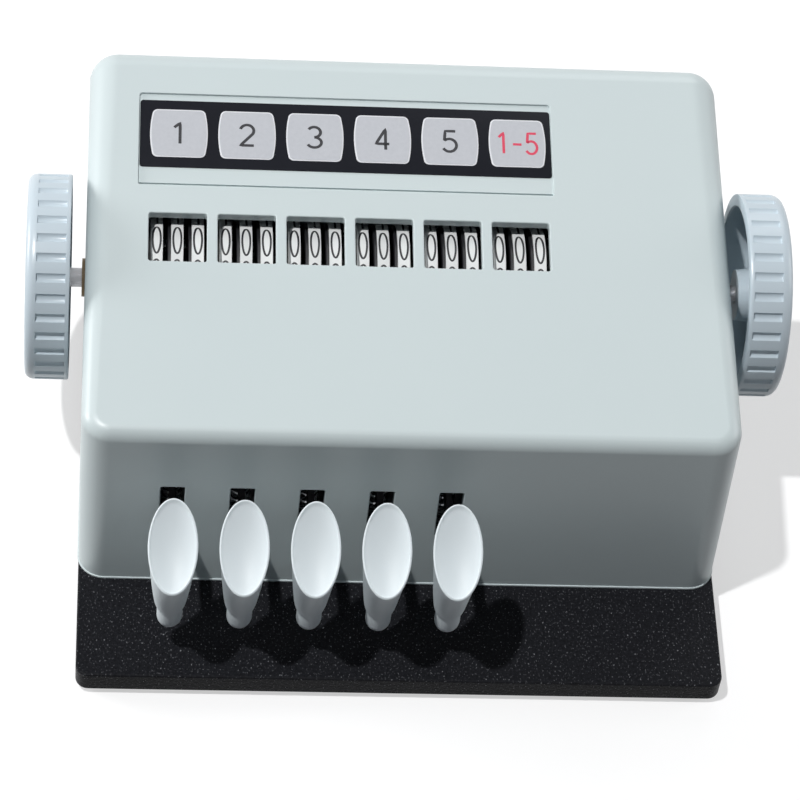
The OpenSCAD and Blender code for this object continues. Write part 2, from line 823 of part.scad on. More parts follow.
digit_wheel(2, 0);  // hundreds_wheel_3
digit_wheel(2, 1);  // tens_wheel_3
digit_wheel(2, 2);  // units_wheel_3
digit_wheel(3, 0);  // hundreds_wheel_4
digit_wheel(3, 1);  // tens_wheel_4
digit_wheel(3, 2);  // units_wheel_4
digit_wheel(4, 0);  // hundreds_wheel_5
digit_wheel(4, 1);  // tens_wheel_5
digit_wheel(4, 2);  // units_wheel_5
digit_wheel(key_count, 0);  // hundreds_wheel_total
digit_wheel(key_count, 1);  // tens_wheel_total
digit_wheel(key_count, 2);  // units_wheel_total
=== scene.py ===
"""A mechanical differential cell counter on a bench: a pale moulded case on a black base plate,
five dished keys, six three-figure counters under windows and a reset knob on each side."""
import json
import math

import bmesh
import bpy
from mathutils import Euler, Matrix, Vector

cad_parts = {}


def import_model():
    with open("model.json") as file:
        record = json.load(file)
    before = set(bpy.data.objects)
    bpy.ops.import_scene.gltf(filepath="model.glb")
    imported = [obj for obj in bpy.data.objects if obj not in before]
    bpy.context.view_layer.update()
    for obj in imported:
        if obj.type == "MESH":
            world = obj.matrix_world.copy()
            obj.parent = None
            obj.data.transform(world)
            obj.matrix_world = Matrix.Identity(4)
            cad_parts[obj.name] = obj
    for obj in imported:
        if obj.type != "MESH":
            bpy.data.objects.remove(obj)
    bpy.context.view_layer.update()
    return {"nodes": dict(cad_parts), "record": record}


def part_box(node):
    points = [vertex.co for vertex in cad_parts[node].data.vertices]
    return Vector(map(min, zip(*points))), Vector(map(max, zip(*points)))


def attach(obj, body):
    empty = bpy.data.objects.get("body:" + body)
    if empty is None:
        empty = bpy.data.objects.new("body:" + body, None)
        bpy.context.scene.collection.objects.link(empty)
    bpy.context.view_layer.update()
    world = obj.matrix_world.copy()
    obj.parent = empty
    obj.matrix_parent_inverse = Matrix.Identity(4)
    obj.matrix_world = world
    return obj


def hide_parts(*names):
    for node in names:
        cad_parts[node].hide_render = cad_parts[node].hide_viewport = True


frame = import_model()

# Sizes are in millimetres and angles in radians. Shapes are made in millimetres, stored in metres.
MM = 0.001
# edges blunter than this, in degrees, are shaded smooth
SMOOTH = 30

# Case, as moulded: the front face leans back and the top panel slopes up to the back
RIDGE_H = 67.5
PANEL_SLOPE = math.radians(8)
FRONT_LEAN = 6
WALL = 3
TOP_R = 9
RIDGE_R = 5
CORNER_R = 8
FOOT_BEAD = 0.3
BUSH_HOLE_R = 6.05
LIP_R = 0.4
CASE_SIDES = 72
WINDOW_W = 18
WINDOW_L = 17.2
WINDOW_R = 0.8
WINDOW_Y = 74.5
# the slots for the key levers; rise and drop are measured from the pivot rod
SLOT_W = 7.4
SLOT_R = 0.5
SLOT_RISE = 15.8
SLOT_DROP = 4.5

# Label: a strip with a plate for each counter, in a recess that reaches further than the strip by
# the margins RECESS_FRONT, RECESS_BACK and RECESS_SIDE. A narrow line is cut into the recess's
# floor, LINE_BACK behind its front edge.
LABEL_Y = 112
LABEL_L = 24.6
STRIP_T = 0.4
STRIP_R = 1
STRIP_ROUND = 0.12
RECESS_DEPTH = 0.8
RECESS_FRONT = 7
RECESS_BACK = 2.4
RECESS_SIDE = 0.3
RECESS_LIP = 0.25
RECESS_R = 1
LINE_W = 0.6
LINE_DEPTH = 0.8
LINE_BACK = 0.8
PLATE_W = WINDOW_W - 2
PLATE_L = LABEL_L - 7
PLATE_BULGE = 1
PLATE_EDGE = 0.4
PLATE_R = 1.4
PLATE_FACE_R = 1.1
PLATE_T = 0.2
PLATE_ROUND = 0.08
PLATE_FACE = 0.25
NUMBER_W = 4.2
NUMBER_H = 7.6
NUMBER_STROKE = 0.95
# the three signs of the last plate are narrower and stand this far apart
RANGE_W = 3.4
RANGE_STROKE = 0.85
RANGE_STEP = 4.6

# Keys
DISH_W = 15
DISH_L = 29
DISH_TILT = math.radians(30)
STEM_R = 3.9
LEDGE = 0.6
DISH_DEPTH = 3
# how soon the bowl widens and lengthens above the neck, 1 evenly and less sooner
BOWL_WIDE = 0.7
BOWL_LONG = 1.3
NECK_H = 10
# the bowl's outside ends BRIM_H below the middle of the dish, and a step inside its brim
BRIM_H = 1.6
BRIM_STEP_W = 0.3
BRIM_STEP_L = 0.5
BRIM_T = 0.85
BRIM_ROUND = 0.42
BRIM_DROP = 0.4

# Counters
WHEEL_PITCH = 6.35
RIM_W = 3.8
RIM_BEVEL = 0.12
RIM_INNER_R = 18.3
FLANGE_W = 1
FLANGE_R = 18.9
HUB_R = 5
HUB_SINK = 0.08
BORE_R = 3.05
CORE_R = 18.35
# the core is as wide as the rim up to BOSS_R, and from there a web whose right face is at WEB_X
BOSS_R = 14.2
WEB_X = 0.6
WHEEL_GAP = 0.15
RATCHET_R = 13.2
RATCHET_T = 1.3
TOOTH_H = 2.8
# the teeth of a smaller ratchet are lower, by this share of its drop
TOOTH_LOSS = 0.15
TOOTH_LEAN = math.radians(-16)
# the hundreds and tens ratchets are smaller, and the tens and units ratchets have one deep notch
RATCHET_DROP = {"hundreds": 5.2, "tens": 2.9, "units": 0}
NOTCH = {"hundreds": 0, "tens": 1.9, "units": 2}
DIGIT_STEP = math.radians(36)
ZERO_AT = math.radians(89.5)
FIGURE_H = 10.4
FIGURE_W = 2.5
FIGURE_STROKE = 0.62
INK = 0.03
# the longest stretch of a printed stroke, so that it follows round surfaces
INK_STEP = 0.8

# Base plate: the screws and feet are let into its underside
BASE_R = 4
BASE_ROUND = 0.7
HEAD_R = 2.8
HEAD_HOLE = 3.1
HEAD_SINK = 2.8
SCREW_HOLE = 1.8
FOOT_R = 8
FOOT_PLAY = 0.05
FOOT_SINK = 1

# Knobs
GROOVES = 32
GROOVE_W = 2.5
GROOVE_D = 0.9
KNOB_BEVEL = 3
KNOB_FACE_T = 4
KNOB_HUB_R = 8
KNOB_RIM_R = 28
SHAFT_HOLE_R = 3.03
KNOB_SINK = 2.2
KNOB_SCREW_R = 1.8
GROOVE_POINTS = 18


def bounds_mm(node):
    """Lowest and highest corner of a CAD node, in millimetres."""
    low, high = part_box(node)
    return low / MM, high / MM


def middle(node):
    low, high = bounds_mm(node)
    return (low + high) / 2


CASE_LOW, CASE_HIGH = bounds_mm("housing")
CASE_W = CASE_HIGH.x - CASE_LOW.x
CASE_D = CASE_HIGH.y - CASE_LOW.y
FRONT = CASE_LOW.y
BASE_TOP = CASE_LOW.z
LEAN = math.atan(FRONT_LEAN / RIDGE_H)
COUNTERS = ["1", "2", "3", "4", "5", "total"]
KEYS = COUNTERS[:5]
PLACES = ["hundreds", "tens", "units"]
FIRST_X = middle("key_cap_1").x
PITCH = middle("key_cap_2").x - FIRST_X
COUNTER_X = {name: FIRST_X + i * PITCH for i, name in enumerate(COUNTERS)}


# ---------------------------------------------------------------- shapes

class Shape:
    """Points in millimetres and faces, each face with the number of its finish."""

    def __init__(self):
        self.points = []
        self.faces = []
        self.finish = []

    def add(self, points, faces, finish=0, place=Matrix()):
        start = len(self.points)
        self.points += [place @ Vector(p) for p in points]
        self.faces += [[start + i for i in face] for face in faces]
        self.finish += [finish] * len(faces)

    def skin(self, rings, finish=0, place=Matrix(), round_trip=False):
        """A closed skin over rings of equally many points; a round trip joins the last to the first."""
        count = len(rings[0])
        steps = len(rings) if round_trip else len(rings) - 1
        faces = []
        for r in range(steps):
            a, b = r * count, (r + 1) % len(rings) * count
            faces += [[a + j, a + (j + 1) % count, b + (j + 1) % count, b + j] for j in range(count)]
        if not round_trip:
            faces += [list(range(count))[::-1], [steps * count + j for j in range(count)]]
        self.add([p for ring in rings for p in ring], faces, finish, place)

    def lathe(self, profile, sides, finish=0, place=Matrix()):
        """A closed outline of (height, radius) turned round Z."""
        turns = [math.tau * k / sides for k in range(sides)]
        rings = [[(r * math.cos(a), r * math.sin(a), z) for a in turns] for z, r in profile]
        self.skin(rings, finish, place, round_trip=True)

    def stack(self, w, l, r, levels, finish=0, place=Matrix(), bulge=0):
        """Rounded rectangles over each other; a level is (height, growth)."""
        rings = [rounded_ring(w + 2 * g, l + 2 * g, max(r + g, 0.05), z, bulge) for z, g in levels]
        self.skin(rings, finish, place)

    def make(self, name, finishes=(), smooth=SMOOTH):
        """The object, with its shading."""
        mesh = bpy.data.meshes.new(name)
        mesh.from_pydata([p * MM for p in self.points], [], self.faces)
        mesh.polygons.foreach_set("material_index", self.finish)
        work = bmesh.new()
        work.from_mesh(mesh)
        bmesh.ops.recalc_face_normals(work, faces=work.faces)
        work.to_mesh(mesh)
        work.free()
        obj = bpy.data.objects.new(name, mesh)
        bpy.context.scene.collection.objects.link(obj)
        for finish in finishes:
            mesh.materials.append(finish)
        shade(obj, smooth)
        return obj


def rounded_ring(w, l, r, z, bulge=0, steps=8):
    """Points round a rectangle with rounded corners; bulge swells its short sides."""
    corners = []
    for corner, (sx, sy) in enumerate([(1, 1), (-1, 1), (-1, -1), (1, -1)]):
        turns = [math.radians(90) * (corner + k / steps) for k in range(steps + 1)]
        x, y = sx * (w / 2 - r), sy * (l / 2 - r)
        corners.append([(x + r * math.cos(a), y + r * math.sin(a)) for a in turns])
    ring = []
    for corner, points in enumerate(corners):
        ring += points
        if bulge and corner % 2:
            (x, start), (_, end) = points[-1], corners[(corner + 1) % 4][0]
            ring += [(x, start + (end - start) * k / 12) for k in range(1, 12)]
    return [(x + math.copysign(bulge, x) * (1 - (2 * y / l) ** 2), y, z) for x, y in ring]


def oval(a, b, z, tilt=0, sides=72):
    """A ring with half sizes a and b, tilted about X; its middle is at z."""
    turns = [math.tau * k / sides for k in range(sides)]
    return [(a * math.cos(t), b * math.sin(t) * math.cos(tilt), z + b * math.sin(t) * math.sin(tilt))
            for t in turns]


def rounded_edge(z, r, steps=4):
    """Levels of a stack whose top edge at z is rounded off by r."""
    turns = [math.radians(90) * k / steps for k in range(steps + 1)]
    return [(z - r + r * math.sin(a), -r + r * math.cos(a)) for a in turns]


def lip(depth, r=LIP_R, steps=4):
    """Levels of a cutter that goes depth deep and leaves a rounded lip at height 0."""
    turns = [math.radians(90) * k / steps for k in range(steps + 1)]
    flare = [(-r + r * math.sin(a), r - r * math.cos(a)) for a in turns]
    return [(-depth, 0)] + flare + [(2, r)]


def shade(obj, smooth):
    """Shades an object smooth, but for edges sharper than an angle in degrees."""
    obj.data.shade_smooth()
    obj.data.set_sharp_from_angle(angle=math.radians(smooth))


def applied(obj):
    """Puts the result of an object's modifiers into its mesh."""
    graph = bpy.context.evaluated_depsgraph_get()
    obj.data = bpy.data.meshes.new_from_object(obj.evaluated_get(graph))
    obj.modifiers.clear()


def cut(obj, tool):
    """Takes one object out of another."""
    step = obj.modifiers.new("cut", "BOOLEAN")
    step.operation = "DIFFERENCE"
    step.solver = "EXACT"
    step.object = tool
    applied(obj)
    bpy.data.objects.remove(tool)


def even_normals(obj):
    """Keeps large flat faces flat in the shading next to their rounded edges."""
    shade(obj, SMOOTH)
    step = obj.modifiers.new("normals", "WEIGHTED_NORMAL")
    step.keep_sharp = True
    step.weight = 100
    applied(obj)


def placed(obj, body, slot, *nodes):
    """Puts a finished piece on its body, in the place of CAD nodes."""
    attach(obj, body)
    if nodes:
        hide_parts(*nodes)


# ---------------------------------------------------------------- finishes

class Num:
    """A number that changes over a surface; arithmetic on it adds Math nodes."""

    def __init__(self, finish, socket):
        self.finish = finish
        self.socket = socket

    def math(self, operation, *values):
        return self.finish.node("Math", {"operation": operation}, dict(enumerate(values)))

    def __add__(self, other):
        return self.math("ADD", self, other)

    def __mul__(self, other):
        return self.math("MULTIPLY", self, other)

    def __sub__(self, other):
        return self.math("SUBTRACT", self, other)

    def __gt__(self, other):
        return self.math("GREATER_THAN", self, other)

    __radd__ = __add__
    __rmul__ = __mul__


class Finish:
    """A material on one Principled shader."""

    def __init__(self, name, colour, roughness, **constants):
        self.material = bpy.data.materials.new(name)
        self.material.use_nodes = True
        self.tree = self.material.node_tree
        self.shader = next(n for n in self.tree.nodes if n.type == "BSDF_PRINCIPLED")
        self.feed(self.shader, "Base Color", colour)
        self.feed(self.shader, "Roughness", roughness)
        for socket, value in constants.items():
            self.feed(self.shader, socket.replace("_", " "), value)
        self.place = self.node("TexCoord", output="Object")

    def feed(self, node, socket, value):
        """A link or a constant for one socket."""
        entry = node.inputs[socket]
        if isinstance(value, Num):
            self.tree.links.new(value.socket, entry)
        elif entry.type == "RGBA":
            entry.default_value = (*value, 1)
        else:
            entry.default_value = value

    def node(self, kind, settings=None, inputs=None, output=0):
        node = self.tree.nodes.new("ShaderNode" + kind)
        for name, value in (settings or {}).items():
            setattr(node, name, value)
        for socket, value in (inputs or {}).items():
            self.feed(node, socket, value)
        return Num(self, node.outputs[output])

    def noise(self, scale, detail=2, stretch=(1, 1, 1)):
        """Soft noise; scale is in cells a metre."""
        where = self.node("Mapping", None, {"Vector": self.place, "Scale": stretch})
        inputs = {"Vector": where, "Scale": scale, "Detail": detail}
        return self.node("TexNoise", None, inputs, "Fac")

    def blend(self, amount, first, second):
        """From one colour to another."""
        inputs = {"Factor": amount, 6: first, 7: second}
        return self.node("Mix", {"data_type": "RGBA"}, inputs, 2)

    def paint(self, socket, value):
        self.feed(self.shader, socket, value)

    def emboss(self, height, strength, depth):
        """Bumps; depth in metres."""
        inputs = {"Height": height, "Strength": strength, "Distance": depth}
        self.paint("Normal", self.node("Bump", None, inputs))


def moulded(name, colour, shade_colour, roughness, grain=1400, peel=0.12):
    """A moulded plastic: colour drifts a little, with the faint orange peel of the tool."""
    finish = Finish(name, colour, roughness)
    drift = finish.noise(14, 3)
    finish.paint("Base Color", finish.blend(drift, colour, shade_colour))
    finish.paint("Roughness", roughness + 0.08 * (finish.noise(160, 3) - 0.5))
    finish.emboss(finish.noise(grain, 2), peel, 0.0001)
    return finish.material


def wrinkle_paint():
    """Black wrinkle paint, with painted highlights: pale grey flecks in its colour where a crest would catch
    the light.
    """
    finish = Finish("base_black", (0.004, 0.004, 0.005), 0.3, Specular_IOR_Level=0.05)
    wrinkle = finish.noise(1100, 4)
    fine = finish.noise(1700, 3, (1, 0.7, 1))
    # painted highlight: a noise mask that lightens the colour in small flecks and a few bright glints
    painted_glint = (fine > 0.6) * (fine - 0.6) * 2.2 + (fine > 0.71) * 0.35
    black = finish.blend(wrinkle, (0.001, 0.001, 0.0014), (0.019, 0.02, 0.024))
    finish.paint("Base Color", finish.blend(painted_glint, black, (0.42, 0.43, 0.46)))
    finish.paint("Roughness", 0.24 + 0.2 * wrinkle)
    finish.emboss(wrinkle + 0.4 * fine, 0.5, 0.0004)
    return finish.material


def metal(name, colour, dark, roughness, scale=500, stretch=(1, 1, 1), bump=0.1):
    """A bare metal with fine marks, drawn out where it was turned or drawn."""
    finish = Finish(name, colour, roughness, Metallic=1.0)
    marks = finish.noise(scale, 4, stretch)
    finish.paint("Base Color", finish.blend(marks, dark, colour))
    finish.paint("Roughness", roughness + 0.2 * (marks - 0.5))
    finish.emboss(marks, bump, 0.0001)
    return finish.material


def printed(name, colour, shade_colour, roughness, **constants):
    """Ink or foil: flat, with a fine mottle."""
    finish = Finish(name, colour, roughness, **constants)
    mottle = finish.noise(900, 3)
    finish.paint("Base Color", finish.blend(mottle, colour, shade_colour))
    finish.paint("Roughness", roughness + 0.1 * (mottle - 0.5))
    finish.emboss(mottle, 0.05, 0.00005)
    return finish.material


FINISHES = {
    "case_shell": moulded("case_shell", (0.60, 0.675, 0.68), (0.575, 0.65, 0.66), 0.36),
    "base_black": wrinkle_paint(),
    "rubber": moulded("rubber", (0.02, 0.02, 0.02), (0.03, 0.03, 0.03), 0.75, 2500, 0.4),
    "label_black": printed("label_black", (0.005, 0.006, 0.01), (0.008, 0.009, 0.014), 0.3,
                           Specular_IOR_Level=0.12),
    "label_pale": printed("label_pale", (0.47, 0.485, 0.52), (0.54, 0.555, 0.59), 0.4),
    "frame_alloy": metal("frame_alloy", (0.55, 0.56, 0.58), (0.4, 0.41, 0.43), 0.5, 700, bump=0.4),
    "steel": metal("steel", (0.6, 0.6, 0.62), (0.48, 0.48, 0.5), 0.3, 900, (0.15, 1, 1)),
    "zinc_screw": metal("zinc_screw", (0.6, 0.62, 0.66), (0.5, 0.52, 0.55), 0.32, 1500),
    "bronze": metal("bronze", (0.3, 0.23, 0.15), (0.2, 0.15, 0.09), 0.4, 1200),
    "knob_plastic": moulded("knob_plastic", (0.56, 0.645, 0.70), (0.53, 0.615, 0.675), 0.3),
    "key_plastic": moulded("key_plastic", (0.79, 0.86, 0.885), (0.76, 0.83, 0.86), 0.5),
    "pawl_steel": metal("pawl_steel", (0.035, 0.035, 0.038), (0.015, 0.015, 0.017), 0.5, 900),
    "digit_wheel": moulded("digit_wheel", (0.82, 0.83, 0.82), (0.78, 0.79, 0.79), 0.35),
    "spring_steel": metal("spring_steel", (0.62, 0.63, 0.65), (0.5, 0.51, 0.53), 0.2, 2000),
}
# painted shade: the key levers are made near black so that the slots they show through look dark
LEVER_PAINTED_SHADE = metal("lever_painted_shade", (0.05, 0.05, 0.055), (0.025, 0.025, 0.028), 0.45, 900)
WHEEL_BLACK = moulded("wheel_black", (0.008, 0.008, 0.01), (0.03, 0.03, 0.034), 0.3)
INK_BLACK = printed("ink_black", (0.012, 0.012, 0.016), (0.02, 0.02, 0.025), 0.4)
PLATE_RIM = printed("plate_rim", (0.78, 0.79, 0.82), (0.7, 0.71, 0.74), 0.3)
INK_RED = printed("ink_red", (0.62, 0.04, 0.09), (0.7, 0.07, 0.13), 0.4)

# each subpart takes the finish of its slot, but the key levers take the painted shade above
for row in frame["record"]["subparts"]:
    is_lever = row["node"].startswith("key_lever")
    materials = frame["nodes"][row["node"]].data.materials
    materials.clear()
    materials.append(LEVER_PAINTED_SHADE if is_lever else FINISHES[row["material_slot"]])


# ---------------------------------------------------------------- figures

def arc(cx, cy, rx, ry, start, end, steps=20):
    """Points along an ellipse, with the angles in degrees."""
    turns = [math.radians(start + (end - start) * k / steps) for k in range(steps + 1)]
    return [(cx + rx * math.cos(a), cy + ry * math.sin(a)) for a in turns]


# Each figure is a list of strokes in a box one wide and one high.
SIX = arc(0.5, 0.5, 0.5, 0.5, 50, 180, 12) + [(0, 0.3)]
FIGURES = {
    "0": [arc(0.5, 0.5, 0.5, 0.5, 90, 450, 40)],
    "1": [[(0.15, 0.78), (0.58, 1), (0.58, 0)]],
    "2": [arc(0.5, 0.72, 0.5, 0.28, 165, -35) + [(0, 0), (1, 0)]],
    "3": [arc(0.45, 0.75, 0.47, 0.25, 150, -90), arc(0.45, 0.25, 0.53, 0.25, 90, -155)],
    "4": [[(0.72, 0), (0.72, 1), (0, 0.28), (1, 0.28)]],
    "5": [[(0.92, 1), (0.16, 1), (0.08, 0.56)] + arc(0.45, 0.31, 0.53, 0.31, 128, -150)],
    "6": [SIX, arc(0.5, 0.3, 0.5, 0.3, 0, 360, 30)],
    "7": [[(0, 1), (1, 1), (0.35, 0)]],
    "8": [arc(0.5, 0.76, 0.42, 0.24, 0, 360, 26), arc(0.5, 0.26, 0.5, 0.26, 0, 360, 26)],
    "9": [[(1 - x, 1 - y) for x, y in SIX], arc(0.5, 0.7, 0.5, 0.3, 0, 360, 30)],
    "-": [[(0.1, 0.45), (0.9, 0.45)]],
}


def evenly(path, step):
    """The same path with no stretch longer than step."""
    points = [path[0]]
    for a, b in zip(path, path[1:]):
        parts = max(1, math.ceil(math.dist(a, b) / step))
        points += [tuple(p + (q - p) * k / parts for p, q in zip(a, b)) for k in range(1, parts + 1)]
    return points


def print_figure(shape, figure, w, h, stroke, lay, finish, x=0):
    """Lays the strokes of a figure on a surface; lay turns (x, y, height) into a point."""
    for path in FIGURES[figure]:
        closed = math.dist(path[0], path[-1]) < 1e-6
        line = evenly([(x + (px - 0.5) * w, (py - 0.5) * h) for px, py in path], INK_STEP)
        if closed:
            line = line[:-1]
        count = len(line)
        rings = []
        for k, here in enumerate(line):
            before = line[k - 1] if closed or k else here
            after = line[(k + 1) % count] if closed or k < count - 1 else here
            run = Vector(after) - Vector(before)
            side = Vector((-run.y, run.x)).normalized() * stroke / 2
            left, right = Vector(here) + side, Vector(here) - side
            rings.append([lay(left.x, left.y, -INK), lay(right.x, right.y, -INK),
                          lay(right.x, right.y, INK), lay(left.x, left.y, INK)])
        shape.skin(rings, finish, round_trip=closed)


# ---------------------------------------------------------------- case

def panel_z(y):
    """Height of the top panel at a distance y behind the foot of the case."""
    return BASE_TOP + RIDGE_H + (y - FRONT_LEAN) * math.tan(PANEL_SLOPE)


def on_panel(x, y):
    """The frame of a point on the top panel, with Z out of the panel and Y up the slope."""
    return Matrix.Translation((x, FRONT + y, panel_z(y))) @ Matrix.Rotation(PANEL_SLOPE, 4, "X")


def on_front(x, z):
    """The frame of a point on the front face, with Z out of the face and Y up along it."""
    y = FRONT + (z - BASE_TOP) * math.tan(LEAN)
    return Matrix.Translation((x, y, z)) @ Matrix.Rotation(math.radians(90) - LEAN, 4, "X")


def inside(corner, first, second, r):
    """The middle of a circle of radius r that touches two lines through a corner, from inside."""
    det = first[0] * second[1] - first[1] * second[0]
    return (corner[0] - r * (second[1] - first[1]) / det, corner[1] - r * (first[0] - second[0]) / det)


def ball(middle_point, radius):
    """Points all over a ball."""
    x, y, z = middle_point
    points = []
    for k in range(1, CASE_SIDES // 2):
        across = math.pi * k / (CASE_SIDES // 2)
        r = radius * math.sin(across)
        points += [(x + radius * math.cos(across), y + r * math.cos(a), z + r * math.sin(a))
                   for a in (math.tau * j / CASE_SIDES for j in range(CASE_SIDES))]
    return points


def case_form(name, inset):
    """The closed form of the case, or of its hollow when inset by the wall."""
    panel_out = (-math.sin(PANEL_SLOPE), math.cos(PANEL_SLOPE))
    front_out = (-math.cos(LEAN), math.sin(LEAN))
    ridge_r = TOP_R if inset else RIDGE_R
    ridge = inside((FRONT_LEAN, BASE_TOP + RIDGE_H), front_out, panel_out, ridge_r)
    crest = inside((CASE_D, panel_z(CASE_D)), panel_out, (1, 0), TOP_R)
    low = BASE_TOP - (1 if inset else 0)
    turns = [math.tau * k / CASE_SIDES for k in range(CASE_SIDES)]
    points = []
    for side in (-1, 1):
        for y in (CORNER_R, CASE_D - CORNER_R):
            points += [(side * (CASE_W / 2 - CORNER_R) + (CORNER_R - inset) * math.cos(a),
                        y + (CORNER_R - inset) * math.sin(a), low) for a in turns]
        x = side * (CASE_W / 2 - TOP_R)
        points += ball((x, *crest), TOP_R - inset)
        # a small ball runs round the ridge's corner
        swing = TOP_R - ridge_r
        for k in range(CASE_SIDES // 4 + 1 if swing else 1):
            a = math.pi * k / (CASE_SIDES // 2)
            back = swing * (1 - math.cos(a))
            where = (x + side * swing * math.sin(a), ridge[0] + back * math.cos(PANEL_SLOPE),
                     ridge[1] + back * math.sin(PANEL_SLOPE))
            points += ball(where, ridge_r - inset)
    mesh = bpy.data.meshes.new(name)
    work = bmesh.new()
    for x, y, z in points:
        work.verts.new(Vector((x, FRONT + y, z)) * MM)
    bmesh.ops.convex_hull(work, input=work.verts, use_existing_faces=False)
    bmesh.ops.delete(work, geom=[v for v in work.verts if not v.link_faces], context="VERTS")
    bmesh.ops.dissolve_limit(work, angle_limit=math.radians(0.5), verts=work.verts, edges=work.edges)
    bmesh.ops.recalc_face_normals(work, faces=work.faces)
    work.to_mesh(mesh)
    work.free()
    mesh.materials.append(FINISHES["case_shell"])
    obj = bpy.data.objects.new(name, mesh)
    bpy.context.scene.collection.objects.link(obj)
    return obj


def housing():
    case = case_form("case_shell", 0)
    cut(case, case_form("hollow", WALL))
    openings = Shape()
    through = lip(WALL + 2)
    for name in COUNTERS:
        openings.stack(WINDOW_W, WINDOW_L, WINDOW_R, through, place=on_panel(COUNTER_X[name], WINDOW_Y))
    rod_z = middle("pivot_rod").z
    slot_h = (SLOT_RISE + SLOT_DROP) / math.cos(LEAN)
    slot_z = rod_z + (SLOT_RISE - SLOT_DROP) / 2
    for name in KEYS:
        openings.stack(SLOT_W, slot_h, SLOT_R, through, place=on_front(COUNTER_X[name], slot_z))
    strip_low, strip_high = bounds_mm("label_strip")
    strip_x = (strip_low.x + strip_high.x) / 2
    recess_w = strip_high.x - strip_low.x + 2 * RECESS_SIDE
    recess_l = LABEL_L + RECESS_FRONT + RECESS_BACK
    recess = on_panel(strip_x, LABEL_Y) @ Matrix.Translation((0, (RECESS_BACK - RECESS_FRONT) / 2, 0))
    openings.stack(recess_w, recess_l, RECESS_R, lip(RECESS_DEPTH, RECESS_LIP), place=recess)
    axis = middle("units_wheel_1")
    for side in (-1, 1):
        bore = Matrix.Translation((side * (CASE_W / 2 - WALL / 2), axis.y, axis.z))
        openings.skin([oval(BUSH_HOLE_R, BUSH_HOLE_R, z, sides=48) for z in (-WALL, WALL)],
                      place=bore @ Matrix.Rotation(math.radians(90), 4, "Y"))
    cut(case, openings.make("cutter"))
    recess_front = LABEL_Y - LABEL_L / 2 - RECESS_FRONT
    line = Shape()
    line.stack(recess_w - 0.4, LINE_W, 0.1, [(-RECESS_DEPTH - LINE_DEPTH, 0), (-0.3, 0)],
               place=on_panel(strip_x, recess_front + LINE_BACK + LINE_W / 2))
    cut(case, line.make("cutter"))
    even_normals(case)
    placed(case, "root", "case_shell", "housing")


def foot_bead():
    """A low bead round the foot of the case."""
    bead = Shape()
    profile = [(0, -1), (0, FOOT_BEAD), (0.3, FOOT_BEAD), (0.5, FOOT_BEAD - 0.1),
               (0.55, FOOT_BEAD - 0.25), (0.55, -1)]
    bead.skin([rounded_ring(CASE_W + 2 * g, CASE_D + 2 * g, CORNER_R + g, z) for z, g in profile],
              place=Matrix.Translation((0, FRONT + CASE_D / 2, BASE_TOP)), round_trip=True)
    placed(bead.make("foot_bead", [FINISHES["case_shell"]]), "root", "case_shell")


# ---------------------------------------------------------------- base plate

def in_corners(node, r):
    """The places of the four round pieces, r in radius, that make up a CAD node."""
    low, high = bounds_mm(node)
    return [Matrix.Translation((x, y, 0)) for x in (low.x + r, high.x - r) for y in (low.y + r, high.y - r)]


def base_plate():
    low, high = bounds_mm("base_plate")
    size, centre = high - low, (low + high) / 2
    rounding = rounded_edge(size.z / 2, BASE_ROUND)
    levels = [(-z, g) for z, g in reversed(rounding)] + rounding
    shape = Shape()
    shape.stack(size.x, size.y, BASE_R, levels, place=Matrix.Translation(centre))
    plate = shape.make("base_casting", [FINISHES["base_black"]])
    under = Shape()
    screw_hole = [(-1, HEAD_HOLE), (HEAD_SINK, HEAD_HOLE), (HEAD_SINK, SCREW_HOLE),
                  (size.z + 1, SCREW_HOLE)]
    for node in ("housing_screws", "frame_screws"):
        for place in in_corners(node, HEAD_R):
            under.skin([oval(r, r, low.z + z, sides=40) for z, r in screw_hole], place=place)
    foot_hole = FOOT_R + FOOT_PLAY
    for place in in_corners("feet", FOOT_R):
        under.skin([oval(foot_hole, foot_hole, low.z + z, sides=64) for z in (-1, FOOT_SINK)], place=place)
    cut(plate, under.make("cutter"))
    even_normals(plate)
    placed(plate, "root", "base_black", "base_plate")


# ---------------------------------------------------------------- label

def label():
    low, high = bounds_mm("label_strip")
    ground = on_panel((low.x + high.x) / 2, LABEL_Y) @ Matrix.Translation((0, 0, -RECESS_DEPTH))
    strip = Shape()
    edge = [(0, 0)] + rounded_edge(STRIP_T, STRIP_ROUND)
    strip.stack(high.x - low.x, LABEL_L, STRIP_R, edge, place=ground)
    obj = strip.make("name_strip", [FINISHES["label_black"]])
    placed(obj, "root", "label_black", "label_strip")

    plates = Shape()
    for name in COUNTERS:
        place = on_panel(COUNTER_X[name], LABEL_Y) @ Matrix.Translation((0, 0, STRIP_T - RECESS_DEPTH))
        rim = [(0, 0)] + rounded_edge(PLATE_T, PLATE_ROUND)
        plates.stack(PLATE_W, PLATE_L, PLATE_R, rim, 3, place, PLATE_BULGE)
        face = [(0.1, 0), (PLATE_FACE - 0.02, 0), (PLATE_FACE, -0.02)]
        plates.stack(PLATE_W - 2 * PLATE_EDGE, PLATE_L - 2 * PLATE_EDGE, PLATE_FACE_R, face, 0,
                     place, PLATE_BULGE)

        def lay(x, y, z):
            return place @ Vector((x, y, PLATE_FACE + z))

        if name == "total":
            for k, figure in enumerate("1-5"):
                x = (k - 1) * RANGE_STEP
                print_figure(plates, figure, RANGE_W, NUMBER_H, RANGE_STROKE, lay, 2, x)
        else:
            print_figure(plates, name, NUMBER_W, NUMBER_H, NUMBER_STROKE, lay, 1)
    obj = plates.make("name_plates", [FINISHES["label_pale"], INK_BLACK, INK_RED, PLATE_RIM])
    placed(obj, "root", "label_pale", "label_plates")


# ---------------------------------------------------------------- keys

